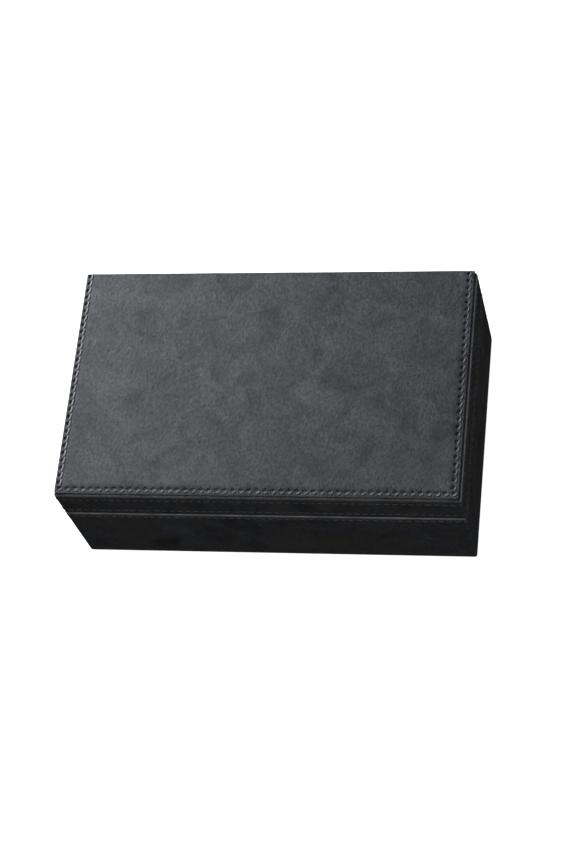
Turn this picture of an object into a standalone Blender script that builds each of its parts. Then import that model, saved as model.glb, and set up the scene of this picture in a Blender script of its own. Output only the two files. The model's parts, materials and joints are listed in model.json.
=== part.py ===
"""Card deck box: a rigid greyboard box wrapped in imitation leather.

The base and the lid are each a frame of four wall boards, a flat board, a leather band folded round
the rims, and suede linings. One cover panel is sewn to the top of the lid on three sides and runs on
over the rear edge, down the back and across the seam, where it is the hinge. Bar magnets in the two
front walls hold the lid shut. Half-lapped dividers make eight compartments for decks that stand on end.

Frame: origin at the middle of the underside, +X to the right, -Y to the front, +Z up, in metres.
Run it with: blender --background --python part.py
"""

import math

import bmesh
import bpy
from mathutils import Vector

# Outer size, and the height of the seam between the base and the lid.
WIDTH = 0.2940
DEPTH = 0.1830
HEIGHT = 0.1020
SEAM_Z = 0.0719

# Sheet and board thicknesses.
LEATHER = 0.0008
COVER = 0.0012
HINGE_LEATHER = 0.0008
BOTTOM_SHEET = 0.0006
WALL_BOARD = 0.0025
FLAT_BOARD = 0.0020
LINING = 0.0005
DIVIDER = 0.0025

# Clearances between glued layers, and the slit that shows between the closed rims.
GAP = 0.0003
SEAM_GAP = 0.0006

# Folds and corners of the leather.
CORNER_R = 0.0018
FOLD_R = 0.0009
COVER_FOLD_R = 0.0018
COVER_CORNER_R = 0.0020
BOTTOM_INSET = 0.0015
TOP_FLANGE = 0.0120

# The cover panel is a little narrower than the box, and is glued on a little left of the middle.
COVER_WIDTH = 0.2919
COVER_SHIFT_X = -0.0009
COVER_FRONT_INSET = 0.0021

# Seams: the thread, how far it is sewn from the cover's cut edge, and from the folds of the walls.
THREAD_R = 0.0003
WALL_THREAD_R = 0.00025
SEWN_MARGIN = 0.0033
WALL_SEAM_MARGIN = 0.0055
THREAD_CORNER_R = 0.0012
THREAD_REAR_STOP = 0.0030

# Hinge: the bare strip reaches this far above and below the seam.
HINGE_REACH = 0.0033

# Magnets, in notches at the rims of the front boards.
MAGNET = Vector((0.0200, 0.0020, 0.0050))
MAGNET_X = 0.0700

# Dividers.
DIVIDER_TOP_Z = 0.0660
DIVIDER_ROUND = 0.0008
COLUMNS = 4

CORNER_SEGMENTS = 6
FOLD_SEGMENTS = 3
COVER_FOLD_SEGMENTS = 6
TUBE_RESOLUTION = 2
CUT_PAST = 0.0010

# Places that follow from the sizes above.
WRAP_REAR_Y = DEPTH / 2 - COVER - GAP
BASE_LOW_Z = BOTTOM_SHEET + GAP
BASE_RIM_Z = SEAM_Z - SEAM_GAP / 2
LID_RIM_Z = SEAM_Z + SEAM_GAP / 2
LID_TOP_Z = HEIGHT - COVER - GAP
BOARD_INSET = LEATHER + GAP
INNER_INSET = BOARD_INSET + WALL_BOARD + GAP
RIM_WIDTH = INNER_INSET + LINING
FLOOR_Z = BASE_LOW_Z + FLAT_BOARD + GAP + LINING
COVER_LEFT = COVER_SHIFT_X - COVER_WIDTH / 2
COVER_RIGHT = COVER_SHIFT_X + COVER_WIDTH / 2
COVER_FRONT = -DEPTH / 2 + COVER_FRONT_INSET
SEWN_LEFT = COVER_LEFT + SEWN_MARGIN
SEWN_RIGHT = COVER_RIGHT - SEWN_MARGIN
SEWN_FRONT = COVER_FRONT + SEWN_MARGIN
HINGE_Y = DEPTH / 2 - COVER / 2

MODEL = bpy.data.collections.new("card_deck_box")
CUTTERS = bpy.data.collections.new("cutters")


def clear_scene():
    for obj in list(bpy.data.objects):
        bpy.data.objects.remove(obj, do_unlink=True)
    for collection in (MODEL, CUTTERS):
        bpy.context.scene.collection.children.link(collection)


def material(name, colour, roughness, metallic=0.0):
    made = bpy.data.materials.new(name)
    made.use_nodes = True
    shader = made.node_tree.nodes["Principled BSDF"]
    shader.inputs["Base Color"].default_value = (*colour, 1.0)
    shader.inputs["Roughness"].default_value = roughness
    shader.inputs["Metallic"].default_value = metallic
    return made


def footprint(inset):
    """Half-width, front Y and rear Y of the wrapped walls, moved in by inset."""
    return WIDTH / 2 - inset, -DEPTH / 2 + inset, WRAP_REAR_Y - inset


def add_object(name, mesh, place, finish=None):
    """Links a mesh at its place as a part, or as a cutter when it has no finish."""
    obj = bpy.data.objects.new(name, mesh)
    obj.location = place
    if finish is None:
        CUTTERS.objects.link(obj)
        obj.hide_render = True
        obj.display_type = "WIRE"
    else:
        MODEL.objects.link(obj)
        mesh.materials.append(finish)
    return obj


def block_mesh(low, high):
    """A bmesh box of the size between two corners, centred on its own origin, and its middle."""
    size = Vector(high) - Vector(low)
    bm = bmesh.new()
    bmesh.ops.create_cube(bm, size=1.0)
    bmesh.ops.scale(bm, verts=bm.verts, vec=size)
    return bm, (Vector(high) + Vector(low)) / 2


def round_edges(bm, wanted, radius, segments):
    """Bevels the edges that a test picks."""
    chosen = [edge for edge in bm.edges if wanted(edge)]
    bmesh.ops.bevel(
        bm, geom=chosen, offset=radius, offset_type="OFFSET",
        segments=segments, profile=0.5, affect="EDGES",
    )


def on_side(edge, axis, sign):
    """Whether both ends of an edge are on the far side of the origin along an axis."""
    return all(vert.co[axis] * sign > 0 for vert in edge.verts)


def runs_along(edge, axis):
    a, b = edge.verts
    along = (a.co - b.co).normalized()
    return abs(along[axis]) > 0.999


def is_level(edge):
    a, b = edge.verts
    return abs(a.co.z - b.co.z) < 1e-7


def finish_mesh(name, bm):
    mesh = bpy.data.meshes.new(name)
    bmesh.ops.recalc_face_normals(bm, faces=bm.faces)
    bm.to_mesh(mesh)
    bm.free()
    mesh.shade_smooth()
    mesh.set_sharp_from_angle(angle=math.radians(35))
    return mesh


def block(name, low, high, finish=None, corner_r=0.0, corners="all", fold_r=0.0):
    """A box whose upright edges are rounded by corner_r, and whose top and bottom edges by fold_r."""
    bm, middle = block_mesh(low, high)
    sides = {"front": (-1,), "rear": (1,), "all": (-1, 1)}[corners]
    if corner_r:
        round_edges(
            bm, lambda edge: runs_along(edge, 2) and any(on_side(edge, 1, s) for s in sides),
            corner_r, CORNER_SEGMENTS,
        )
    if fold_r:
        round_edges(bm, is_level, fold_r, FOLD_SEGMENTS)
    return add_object(name, finish_mesh(name, bm), middle, finish)


def cut(obj, cutter):
    modifier = obj.modifiers.new(cutter.name, "BOOLEAN")
    modifier.operation = "DIFFERENCE"
    modifier.object = cutter


def tube(name, points, radius, finish):
    """A round thread through points, with closed ends. Its origin is its first point."""
    start = Vector(points[0])
    data = bpy.data.curves.new(name, "CURVE")
    data.dimensions = "3D"
    data.bevel_depth = radius
    data.bevel_resolution = TUBE_RESOLUTION
    data.use_fill_caps = True
    spline = data.splines.new("POLY")
    spline.points.add(len(points) - 1)
    for point, co in zip(spline.points, points):
        point.co = (*(Vector(co) - start), 1.0)
    obj = bpy.data.objects.new(name, data)
    obj.location = start
    MODEL.objects.link(obj)
    data.materials.append(finish)
    return obj


def tube_cutter(name, points, radius):
    """The same round thread as a closed mesh, to cut the groove it lies in."""
    curve = tube(name, points, radius, None)
    graph = bpy.context.evaluated_depsgraph_get()
    mesh = bpy.data.meshes.new_from_object(curve.evaluated_get(graph))
    bm = bmesh.new()
    bm.from_mesh(mesh)
    bmesh.ops.remove_doubles(bm, verts=bm.verts, dist=1e-6)
    bmesh.ops.recalc_face_normals(bm, faces=bm.faces)
    bm.to_mesh(mesh)
    bm.free()
    place = curve.location.copy()
    bpy.data.objects.remove(curve)
    return add_object(name, mesh, place)


def thread_in_groove(name, host, points, radius, finish):
    """A thread that lies half sunk in a groove of its host, with clearance all round."""
    cut(host, tube_cutter(name + "_groove", points, radius + GAP))
    return tube(name, points, radius, finish)


def arc(centre, radius, start, end, steps):
    """Points of a circle arc in a plane, from angle start to end in radians."""
    angles = [start + (end - start) * i / steps for i in range(steps + 1)]
    return [(centre[0] + radius * math.cos(a), centre[1] + radius * math.sin(a)) for a in angles]


def leather_band(name, low_z, high_z, low_opening, high_opening, finish):
    """The wrap of four walls: a thin skin with a flange folded in at its bottom and at its top."""
    half_x, front, rear = footprint(0)
    band = block(name, (-half_x, front, low_z), (half_x, rear, high_z), finish, CORNER_R, "all", FOLD_R)
    in_x, in_front, in_rear = footprint(LEATHER)
    cut(band, block(
        name + "_hollow", (-in_x, in_front, low_z + LEATHER), (in_x, in_rear, high_z - LEATHER),
        None, CORNER_R - LEATHER,
    ))
    middle = (low_z + high_z) / 2
    for end, inset, z0, z1 in (
        ("_low_opening", low_opening, low_z - CUT_PAST, middle),
        ("_high_opening", high_opening, middle, high_z + CUT_PAST),
    ):
        x, y0, y1 = footprint(inset)
        cut(band, block(name + end, (-x, y0, z0), (x, y1, z1)))
    return band


def wall_boards(prefix, low_z, high_z, finish):
    """Front and rear boards over the full width, and side boards between them."""
    half_x, front, rear = footprint(BOARD_INSET)
    inner_r = CORNER_R - BOARD_INSET
    made = {
        "front": block(
            prefix + "_front_board", (-half_x, front, low_z), (half_x, front + WALL_BOARD, high_z),
            finish, inner_r, "front",
        ),
        "rear": block(
            prefix + "_rear_board", (-half_x, rear - WALL_BOARD, low_z), (half_x, rear, high_z),
            finish, inner_r, "rear",
        ),
    }
    y0 = front + WALL_BOARD + GAP
    y1 = rear - WALL_BOARD - GAP
    for side, x0 in (("left", -half_x), ("right", half_x - WALL_BOARD)):
        made[side] = block(
            f"{prefix}_{side}_board", (x0, y0, low_z), (x0 + WALL_BOARD, y1, high_z), finish,
        )
    return made


def wall_linings(prefix, low_z, high_z, finish):
    """Four lining panels on the inner faces of the wall boards."""
    half_x, front, rear = footprint(INNER_INSET)
    block(prefix + "_front_lining", (-half_x, front, low_z), (half_x, front + LINING, high_z), finish)
    block(prefix + "_rear_lining", (-half_x, rear - LINING, low_z), (half_x, rear, high_z), finish)
    y0 = front + LINING + GAP
    y1 = rear - LINING - GAP
    for side, x0 in (("left", -half_x), ("right", half_x - LINING)):
        block(f"{prefix}_{side}_lining", (x0, y0, low_z), (x0 + LINING, y1, high_z), finish)


def magnets(prefix, board, edge_z, inward, finish):
    """Two bar magnets in notches at the rim edge of a front board. inward is -1 down or 1 up from it."""
    front = footprint(BOARD_INSET)[1]
    middle_y = front + WALL_BOARD / 2
    far_z = edge_z + inward * (MAGNET.z + GAP)
    near_z = edge_z - inward * CUT_PAST
    for side, x in (("left", -MAGNET_X), ("right", MAGNET_X)):
        notch_x = MAGNET.x / 2 + GAP
        cut(board, block(
            f"{prefix}_{side}_notch",
            (x - notch_x, front - CUT_PAST, min(near_z, far_z)),
            (x + notch_x, front + WALL_BOARD + CUT_PAST, max(near_z, far_z)),
        ))
        z0, z1 = sorted((edge_z, edge_z + inward * MAGNET.z))
        block(
            f"{prefix}_{side}_magnet",
            (x - MAGNET.x / 2, middle_y - MAGNET.y / 2, z0),
            (x + MAGNET.x / 2, middle_y + MAGNET.y / 2, z1),
            finish,
        )


def flat_panel(name, inset, low_z, thickness, finish, corner_r=0.0):
    half_x, front, rear = footprint(inset)
    return block(
        name, (-half_x, front, low_z), (half_x, rear, low_z + thickness), finish, corner_r,
    )


def folded_over_rear(name, low, high, fold_r, front_corner_r=0.0, finish=None):
    """A box whose top rear edge is rounded, as a sheet folds over it, and its front corners too."""
    bm, middle = block_mesh(low, high)
    round_edges(
        bm, lambda edge: on_side(edge, 1, 1) and on_side(edge, 2, 1) and runs_along(edge, 0),
        fold_r, COVER_FOLD_SEGMENTS,
    )
    if front_corner_r:
        round_edges(
            bm, lambda edge: runs_along(edge, 2) and on_side(edge, 1, -1),
            front_corner_r, CORNER_SEGMENTS,
        )
    return add_object(name, finish_mesh(name, bm), middle, finish)


def lid_cover(finish):
    """The sewn top panel, which folds over the rear edge and ends just above the hinge."""
    low = Vector((COVER_LEFT, COVER_FRONT, SEAM_Z + HINGE_REACH + GAP))
    high = Vector((COVER_RIGHT, DEPTH / 2, HEIGHT))
    cover = folded_over_rear("lid_cover", low, high, COVER_FOLD_R, COVER_CORNER_R, finish)
    past = Vector((CUT_PAST, CUT_PAST, CUT_PAST))
    under = high - Vector((-CUT_PAST, COVER, COVER))
    cut(cover, folded_over_rear("lid_cover_under", low - past, under, COVER_FOLD_R - COVER))
    return cover


def lid_seam_path():
    """The top seam: up the back of the lid, over the fold, round three sides of the top, and down again."""
    fold_y = DEPTH / 2 - COVER_FOLD_R
    fold_z = HEIGHT - COVER_FOLD_R
    low_z = SEAM_Z + HINGE_REACH + THREAD_REAR_STOP
    up_and_over = [(DEPTH / 2, low_z)]
    up_and_over += arc((fold_y, fold_z), COVER_FOLD_R, 0.0, math.pi / 2, COVER_FOLD_SEGMENTS)
    corner = arc(
        (THREAD_CORNER_R, SEWN_FRONT + THREAD_CORNER_R), THREAD_CORNER_R,
        math.pi, 1.5 * math.pi, FOLD_SEGMENTS,
    )
    half = [(0.0, y, z) for y, z in up_and_over] + [(x, y, HEIGHT) for x, y in corner]
    left = [(SEWN_LEFT + x, y, z) for x, y, z in half]
    right = [(SEWN_RIGHT - x, y, z) for x, y, z in reversed(half)]
    return left + right


def wall_seam_path(z):
    """A seam round the left, front and right faces of the walls."""
    half_x, front, rear = footprint(0)
    middle = (-half_x + CORNER_R, front + CORNER_R)
    corner = arc(middle, CORNER_R, math.pi, 1.5 * math.pi, CORNER_SEGMENTS)
    left = [(-half_x, rear - CORNER_R - GAP, z)] + [(x, y, z) for x, y in corner]
    right = [(-x, y, z) for x, y, z in reversed(left)]
    return left + right


def divider_panel(name, low, high, long_axis, finish):
    """A flat divider whose long top edges are rounded."""
    bm, middle = block_mesh(low, high)
    round_edges(
        bm, lambda edge: on_side(edge, 2, 1) and runs_along(edge, long_axis),
        DIVIDER_ROUND, FOLD_SEGMENTS,
    )
    return add_object(name, finish_mesh(name, bm), middle, finish)


def dividers(finish):
    """One row divider along X and three column dividers across it, half-lapped at mid height."""
    half_x, front, rear = footprint(RIM_WIDTH)
    low_z = FLOOR_Z + GAP
    middle_z = (low_z + DIVIDER_TOP_Z) / 2
    middle_y = (front + rear) / 2
    slot = DIVIDER / 2 + GAP
    row = divider_panel(
        "row_divider",
        (-half_x + GAP, middle_y - DIVIDER / 2, low_z),
        (half_x - GAP, middle_y + DIVIDER / 2, DIVIDER_TOP_Z), 0, finish,
    )
    column_width = (2 * half_x - (COLUMNS - 1) * DIVIDER) / COLUMNS
    for i, side in enumerate(("left", "middle", "right")):
        x = (i - 1) * (column_width + DIVIDER)
        column = divider_panel(
            f"column_divider_{side}",
            (x - DIVIDER / 2, front + GAP, low_z),
            (x + DIVIDER / 2, rear - GAP, DIVIDER_TOP_Z), 1, finish,
        )
        cut(row, block(
            f"row_slot_{side}", (x - slot, middle_y - DIVIDER, middle_z),
            (x + slot, middle_y + DIVIDER, DIVIDER_TOP_Z + CUT_PAST),
        ))
        cut(column, block(
            f"column_slot_{side}", (x - DIVIDER, middle_y - slot, low_z - CUT_PAST),
            (x + DIVIDER, middle_y + slot, middle_z + GAP),
        ))


def build_base(finishes):
    leather, cover, board, suede, thread, steel = (
        finishes[k] for k in ("leather", "cover", "board", "suede", "thread", "steel")
    )
    flat_panel("base_bottom_sheet", BOTTOM_INSET, 0.0, BOTTOM_SHEET, leather, CORNER_R - BOTTOM_INSET)
    flat_panel("base_floor_board", INNER_INSET, BASE_LOW_Z, FLAT_BOARD, board)
    flat_panel("base_floor_lining", INNER_INSET, FLOOR_Z - LINING, LINING, suede)
    wrap = leather_band(
        "base_wrap", BASE_LOW_Z, BASE_RIM_Z, BOARD_INSET + WALL_BOARD, RIM_WIDTH, leather,
    )
    board_top = BASE_RIM_Z - LEATHER - GAP
    walls = wall_boards("base", BASE_LOW_Z + LEATHER + GAP, board_top, board)
    wall_linings("base", FLOOR_Z + GAP, board_top, suede)
    magnets("base", walls["front"], board_top, -1, steel)
    seam_z = BASE_RIM_Z - WALL_SEAM_MARGIN
    thread_in_groove("base_rim_thread", wrap, wall_seam_path(seam_z), WALL_THREAD_R, thread)
    rear_low = BASE_LOW_Z + GAP
    rear_high = SEAM_Z - HINGE_REACH - GAP
    rear_cover = block(
        "base_rear_cover", (COVER_LEFT, DEPTH / 2 - COVER, rear_low),
        (COVER_RIGHT, DEPTH / 2, rear_high), cover,
    )
    for side, x in (("left", SEWN_LEFT), ("right", SEWN_RIGHT)):
        ends = [
            (x, DEPTH / 2, rear_low + THREAD_REAR_STOP),
            (x, DEPTH / 2, rear_high - THREAD_REAR_STOP),
        ]
        thread_in_groove(f"base_rear_thread_{side}", rear_cover, ends, THREAD_R, thread)
    dividers(suede)


def build_hinge(finishes):
    """The bare strip of the cover leather that bends, centred on the hinge axis."""
    half = HINGE_LEATHER / 2
    block(
        "hinge_leather", (COVER_LEFT, HINGE_Y - half, SEAM_Z - HINGE_REACH),
        (COVER_RIGHT, HINGE_Y + half, SEAM_Z + HINGE_REACH), finishes["cover"],
    )


def build_lid(finishes):
    leather, cover, board, suede, thread, steel, foam = (
        finishes[k] for k in ("leather", "cover", "board", "suede", "thread", "steel", "foam")
    )
    wrap = leather_band("lid_wrap", LID_RIM_Z, LID_TOP_Z, RIM_WIDTH, TOP_FLANGE, leather)
    board_z = LID_TOP_Z - LEATHER - GAP - FLAT_BOARD
    flat_panel("lid_top_board", BOARD_INSET, board_z, FLAT_BOARD, board, CORNER_R - BOARD_INSET)
    flat_panel("lid_foam_pad", TOP_FLANGE + GAP, LID_TOP_Z - LEATHER, LEATHER, foam)
    lining_z = board_z - GAP - LINING
    flat_panel("lid_top_lining", INNER_INSET, lining_z, LINING, suede)
    rim_z = LID_RIM_Z + LEATHER + GAP
    walls = wall_boards("lid", rim_z, board_z - GAP, board)
    wall_linings("lid", rim_z, lining_z - GAP, suede)
    magnets("lid", walls["front"], rim_z, 1, steel)
    for name, z in (("upper", LID_TOP_Z - WALL_SEAM_MARGIN), ("rim", LID_RIM_Z + WALL_SEAM_MARGIN)):
        thread_in_groove(f"lid_{name}_thread", wrap, wall_seam_path(z), WALL_THREAD_R, thread)
    top = lid_cover(cover)
    thread_in_groove("lid_top_thread", top, lid_seam_path(), THREAD_R, thread)


def hang_lid_on_hinge():
    """Parents all that turns with the lid to an empty on the hinge axis."""
    axis = bpy.data.objects.new("lid_hinge_axis", None)
    axis.location = (0.0, HINGE_Y, SEAM_Z)
    bpy.context.scene.collection.objects.link(axis)
    bpy.context.view_layer.update()
    for obj in MODEL.objects:
        if obj.name.startswith(("lid_", "hinge_")):
            obj.parent = axis
            obj.matrix_parent_inverse = axis.matrix_world.inverted()


def main():
    clear_scene()
    finishes = {
        "leather": material("side_leather", (0.018, 0.018, 0.020), 0.50),
        "cover": material("cover_leather", (0.045, 0.047, 0.052), 0.55),
        "board": material("greyboard", (0.23, 0.20, 0.16), 0.90),
        "suede": material("suede_lining", (0.020, 0.020, 0.022), 0.95),
        "thread": material("thread", (0.060, 0.062, 0.066), 0.50),
        "steel": material("magnet_plating", (0.55, 0.55, 0.57), 0.30, 1.0),
        "foam": material("foam", (0.30, 0.30, 0.31), 0.95),
    }
    build_base(finishes)
    build_hinge(finishes)
    build_lid(finishes)
    hang_lid_on_hinge()


main()
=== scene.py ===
"""Looks of the card deck box: its leather, stitching, linings, boards and foam, and the studio round it.

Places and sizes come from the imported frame. Lengths are in metres, and angles in degrees.
"""

import json
import math

import bmesh
import bpy
import numpy as np
from mathutils import Euler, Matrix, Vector, geometry


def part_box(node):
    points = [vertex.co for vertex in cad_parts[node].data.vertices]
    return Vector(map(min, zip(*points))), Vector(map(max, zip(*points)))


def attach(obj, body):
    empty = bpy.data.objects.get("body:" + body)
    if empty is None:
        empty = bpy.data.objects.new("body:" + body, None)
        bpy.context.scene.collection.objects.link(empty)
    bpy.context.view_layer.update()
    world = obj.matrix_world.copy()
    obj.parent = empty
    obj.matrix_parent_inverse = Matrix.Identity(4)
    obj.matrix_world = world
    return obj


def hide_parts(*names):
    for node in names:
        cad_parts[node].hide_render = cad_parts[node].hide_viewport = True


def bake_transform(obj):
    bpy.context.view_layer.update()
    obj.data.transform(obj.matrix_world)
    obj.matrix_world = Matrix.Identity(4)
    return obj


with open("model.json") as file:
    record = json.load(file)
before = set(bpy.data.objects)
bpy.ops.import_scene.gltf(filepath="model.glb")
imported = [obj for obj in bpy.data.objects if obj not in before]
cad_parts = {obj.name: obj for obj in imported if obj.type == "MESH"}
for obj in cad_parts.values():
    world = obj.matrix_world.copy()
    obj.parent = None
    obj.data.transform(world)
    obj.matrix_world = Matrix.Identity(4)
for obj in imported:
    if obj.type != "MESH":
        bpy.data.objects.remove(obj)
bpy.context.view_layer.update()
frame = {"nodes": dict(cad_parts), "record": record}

# Places of the leather in the frame.
COVER_LOW, COVER_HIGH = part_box("lid_cover")
REAR_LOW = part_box("base_rear_cover")[0]
LID_LOW, LID_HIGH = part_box("lid_wrap")
BASE_LOW, BASE_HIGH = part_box("base_wrap")
THREAD_LOW, THREAD_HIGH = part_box("lid_top_thread")
SEAM_Z = (LID_LOW.z + BASE_HIGH.z) / 2

# The cover panel: one sheet, which folds over the rear edge of the lid and runs down to the base.
COVER_THICK = 0.0013
COVER_FOLD_R = 0.0018
COVER_CORNER_R = 0.0020
COVER_SPLAY = 0.0006    # how much further left its left edge lies at the rear than at the front
TOP_RUN = COVER_HIGH.y - COVER_FOLD_R - COVER_LOW.y
FOLD_RUN = COVER_FOLD_R * math.pi / 2
REAR_RUN = COVER_HIGH.z - COVER_FOLD_R - REAR_LOW.z
COVER_RUN = TOP_RUN + FOLD_RUN + REAR_RUN
HINGE_RUN = COVER_RUN - (SEAM_Z - REAR_LOW.z)
HINGE_HALF = 0.0040

# The cover's relief: how far each part lies below its padded middle, and how wide it is.
MARGIN_DROP = 0.00070
RIM_DROP = 0.00022
SEAM_SINK = 0.00026
EDGE_ROUNDING = 0.00025
END_ROUNDING = 0.00035
HINGE_SINK = 0.00025
HOLE_DEPTH = 0.00125
ROLLING = 0.00004
PADDING_START = 0.0002    # how far inside the seam the padding starts to rise, and where it has risen
PADDING_END = 0.0048
RIM_WIDTH = 0.0030
SEAM_WIDTH = 0.0011
HINGE_WIDTH = 0.0022
LEFT_FLATNESS = 0.85     # the share of the margin's relief that is missing at the left and right edges
RIGHT_FLATNESS = 0.62
FLATNESS_REACH = 0.010

# Distances between the cover's vertices, and from its edge to the grids in its outer and inner faces.
SEWN_STEP = 0.00042
END_STEP = 0.0020
MIDDLE_STEP = 0.0020
BEND_STEP = 0.0005
BACK_STEP = 0.0060
MIDDLE_INSET = 0.0090
BACK_INSET = 0.0020

# The seam on the cover: its distance from the cut edge, and the rows of holes and stitches along it.
CAD_THREAD_R = 0.0003
SEWN_LEFT = THREAD_LOW.x + CAD_THREAD_R
SEWN_RIGHT = THREAD_HIGH.x - CAD_THREAD_R
SEWN_MARGIN = SEWN_LEFT - COVER_LOW.x
PITCH = 0.00585
FIRST_SIDE_STITCH = 0.0052
HINGE_CLEARANCE = 0.0030
REAR_ROW_CLEARANCE = 0.0035
FRONT_ROW_GAP = 0.0005
HOLE_HALF_LENGTH = 0.00116
HOLE_HALF_WIDTH = 0.00094
FRONT_STITCHES = 50
THREAD_R = 0.00042
WALL_THREAD_R = 0.00028
STITCH_WOBBLE = 0.00008
WALL_STITCH_WOBBLE = 0.00004

# The wraps of the walls.
WRAP_THICK = 0.0008
WRAP_CORNER_R = 0.0018
WRAP_FOLD_R = 0.0008
WALL_SEAM_MARGIN = 0.0055
WALL_SEAM_SINK = 0.00008
STITCH_END_DIP = 0.00028
LID_BOTTOM_FLANGE = 0.0044
LID_TOP_FLANGE = 0.0120
BASE_BOTTOM_FLANGE = 0.0036
BASE_TOP_FLANGE = 0.0044
WALL_STEP = 0.00075
REAR_WALL_STEP = 0.003
RIM_FOLD_R = 0.0004
BOTTOM_FOLD_R = 0.0018
RIM_FLARE = 0.00028
RIM_TUCK = 0.00008
RIM_FLARE_REACH = 0.0045
# Painted highlight: how pale the wraps are painted along their folds and upright corners. It is stronger on
# the lid's right side and weaker on the base's, and stands in for light caught there.
LID_RIM_HIGHLIGHT = 0.17
BASE_RIM_HIGHLIGHT = 1.0
FOOT_HIGHLIGHT = 0.05
CORNER_HIGHLIGHT = 0.06
LID_RIGHT_HIGHLIGHT = 4.0     # how much stronger the painted highlight on the folds is on the right side than elsewhere
BASE_RIGHT_HIGHLIGHT = -0.8

# The rounding of the bottom sheet and of the foam pad.
SHEET_CORNER_R = 0.0016
SHEET_EDGE_R = 0.0002
PAD_CORNER_R = 0.0020
PAD_EDGE_R = 0.0003

RANDOM = np.random.default_rng(7)


# ---------------------------------------------------------------- materials

def node(tree, kind, inputs=(), **settings):
    """A shader node with its settings, and its inputs as values or as links from other nodes' outputs."""
    made = tree.nodes.new("ShaderNode" + kind)
    for key, value in settings.items():
        setattr(made, key, value)
    for key, value in dict(inputs).items():
        if isinstance(value, bpy.types.NodeSocket):
            tree.links.new(value, made.inputs[key])
        else:
            made.inputs[key].default_value = value
    return made


def new_material(name, **shader_values):
    """A material, its node tree and its Principled shader with constant values set on it."""
    made = bpy.data.materials.new(name)
    made.use_nodes = True
    tree = made.node_tree
    shader = tree.nodes["Principled BSDF"]
    for key, value in shader_values.items():
        shader.inputs[key.replace("_", " ")].default_value = value
    return made, tree, shader


def mapped(tree, source, scale, turn):
    """Texture coordinates turned about Z and then scaled."""
    turned = node(tree, "Mapping", {"Vector": source, "Rotation": (0, 0, math.radians(-turn))})
    return node(tree, "Mapping", {"Vector": turned.outputs[0], "Scale": scale}).outputs[0]


def noise(tree, vector, scale, detail=3.0, roughness=0.55, distortion=0.0):
    return node(tree, "TexNoise", {
        "Vector": vector, "Scale": scale, "Detail": detail,
        "Roughness": roughness, "Distortion": distortion,
    }).outputs["Fac"]


def cells(tree, vector, scale):
    return node(tree, "TexVoronoi", {"Vector": vector, "Scale": scale}).outputs["Distance"]


def spread(tree, value, low, high, to_low=0.0, to_high=1.0):
    """A value from one range to another, clamped."""
    return node(tree, "MapRange", {
        "Value": value, "From Min": low, "From Max": high, "To Min": to_low, "To Max": to_high,
    }).outputs[0]


def maths(tree, operation, a, b=0.0):
    return node(tree, "Math", {0: a, 1: b}, operation=operation).outputs[0]


def mix(tree, factor, a, b, blend="MIX"):
    """A mix of two colours."""
    return node(
        tree, "Mix", {0: factor, 6: a, 7: b}, data_type="RGBA", blend_type=blend,
    ).outputs[2]


def bump(tree, height, strength, distance, normal=None):
    inputs = {"Height": height, "Strength": strength, "Distance": distance}
    if normal is not None:
        inputs["Normal"] = normal
    return node(tree, "Bump", inputs).outputs[0]


def attribute(tree, name):
    return node(tree, "Attribute", attribute_name=name)


def grey(value, blue=0.0):
    """A near-neutral colour, a little towards blue or, below zero, towards brown."""
    return (value * (1 - 0.50 * blue), value, value * (1 + blue), 1.0)


def leather_surface(tree, shader, coords, tone, blue, depth, contrast, mottling):
    """The colour and normal of smooth imitation leather: cloudy mottling, fine slanting grain, and pores.

    tone is its mean brightness and depth the relief of its grain. contrast and mottling say how far the grain
    and the clouds change the tone.
    """
    clouds = noise(tree, coords, 40.0, 5.0, 0.64, 1.0)
    tint = noise(tree, coords, 17.0, 2.0, 0.5, 1.5)
    grain_space = mapped(tree, coords, (0.66, 1.0, 1.0), 75.0)
    grain = noise(tree, grain_space, 540.0, 5.0, 0.80, 0.5)
    pores = cells(tree, coords, 1500.0)

    dark = grey(tone * (1 - mottling), blue)
    light = grey(tone * (1 + mottling), blue * 0.8)
    cloudy = mix(tree, spread(tree, clouds, 0.34, 0.66), dark, light)
    tinted = mix(tree, spread(tree, tint, 0.42, 0.66, 0.0, 0.5), cloudy, grey(tone * 1.02, blue * 0.8))
    shade = spread(tree, grain, 0.32, 0.68, 1 - contrast, 1 + contrast)
    colour = mix(tree, 1.0, tinted, shade, "MULTIPLY")

    rough = maths(
        tree, "ADD", spread(tree, clouds, 0.3, 0.7, 0.52, 0.42), spread(tree, grain, 0.3, 0.7, 0.07, -0.07),
    )
    tree.links.new(rough, shader.inputs["Roughness"])
    fine = bump(tree, pores, 0.25, depth * 0.3)
    rolling = bump(tree, clouds, 0.35, depth * 6, fine)
    return colour, bump(tree, grain, 1.0, depth, rolling)


def cover_leather():
    """The cover's charcoal leather, with painted shade in its needle holes and on its rim, and its cut edge
    and back.
    """
    made, tree, shader = new_material("cover_leather", Specular_IOR_Level=0.42)
    flat = attribute(tree, "flat").outputs["Vector"]
    colour, normal = leather_surface(
        tree, shader, flat, tone=0.047, blue=0.25, depth=0.00044, contrast=0.80, mottling=0.46,
    )
    hole = attribute(tree, "hole").outputs["Fac"]
    edge = attribute(tree, "edge").outputs["Fac"]
    rim_shade = attribute(tree, "rim_shade").outputs["Fac"]
    # Painted shade: the rim and the seam's inner slope are darkened where they slope away from the lamps.
    colour = mix(tree, rim_shade, colour, mix(tree, 1.0, colour, grey(0.52), "MULTIPLY"))
    colour = mix(tree, edge, colour, grey(0.050, 0.12))
    # Painted shade: the needle holes are coloured near black by their depth, over their real depth in the
    # mesh.
    colour = mix(tree, hole, colour, grey(0.004))
    tree.links.new(colour, shader.inputs["Base Color"])
    tree.links.new(normal, shader.inputs["Normal"])
    return made


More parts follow.
